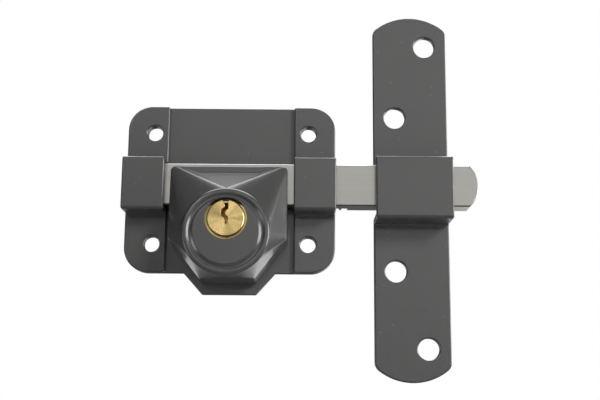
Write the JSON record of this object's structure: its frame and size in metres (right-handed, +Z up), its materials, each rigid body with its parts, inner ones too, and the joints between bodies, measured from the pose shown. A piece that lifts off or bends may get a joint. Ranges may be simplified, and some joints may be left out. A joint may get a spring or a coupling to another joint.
{
  "type": "rim deadbolt lock",
  "caption": "Long-throw rim deadbolt for a gate: screwed-on case with guide straps, flat bar bolt, cast housing with a pin cylinder, and a separate keep plate.",
  "frame": {"origin": "centre of the four case screw holes, on the back face that lies on the gate", "axes": "+X along the bolt's throw towards the keep, +Z up the gate, -Y out of the gate towards the person at the front"},
  "size_m": [0.1353, 0.022, 0.1458],
  "materials": {
    "painted_sheet": "glossy dark grey powder coat on pressed steel",
    "painted_casting": "glossy dark grey powder coat on a zinc casting",
    "plated_bar": "satin zinc plating",
    "plated_steel": "bright zinc plating",
    "spring_steel": "drawn wire",
    "brass": "turned brass",
    "plug_brass": "brass with a finely turned face"
  },
  "bodies": {
    "case": {"base_plate": "painted_sheet", "left_guide_strap": "painted_sheet", "right_guide_strap": "painted_sheet", "lock_housing": "painted_casting", "cylinder_body": "brass", "chamber_cover": "brass", "cylinder_lock_screw": "plated_steel", "keep": "painted_sheet", "housing_screw_1": "plated_steel", "housing_screw_2": "plated_steel", "housing_screw_3": "plated_steel", "housing_screw_4": "plated_steel", "driver_pin_1": "brass", "driver_pin_2": "brass", "driver_pin_3": "brass", "driver_pin_4": "brass", "pin_spring_1": "spring_steel", "pin_spring_2": "spring_steel", "pin_spring_3": "spring_steel", "pin_spring_4": "spring_steel"},
    "bolt": {"bolt_bar": "plated_bar"},
    "plug": {"cylinder_plug": "plug_brass", "plug_circlip": "plated_steel", "drive_pinion": "plated_steel", "key_pin_1": "brass", "key_pin_2": "brass", "key_pin_3": "brass", "key_pin_4": "brass"}
  },
  "joints": [
    {"name": "bolt_slide", "type": "slide", "parent": "case", "child": "bolt", "axis": [-1, 0, 0], "range_m": [0, 0.04084]},
    {"name": "plug_turn", "type": "hinge", "parent": "case", "child": "plug", "pos_m": [0, -0.012, -0.0155], "axis": [0, -1, 0], "range_deg": [0, 275.3]}
  ],
  "couplings": [
    {"joint": "plug_turn", "follows": "bolt_slide", "rad_per_m": 117.65}
  ]
}
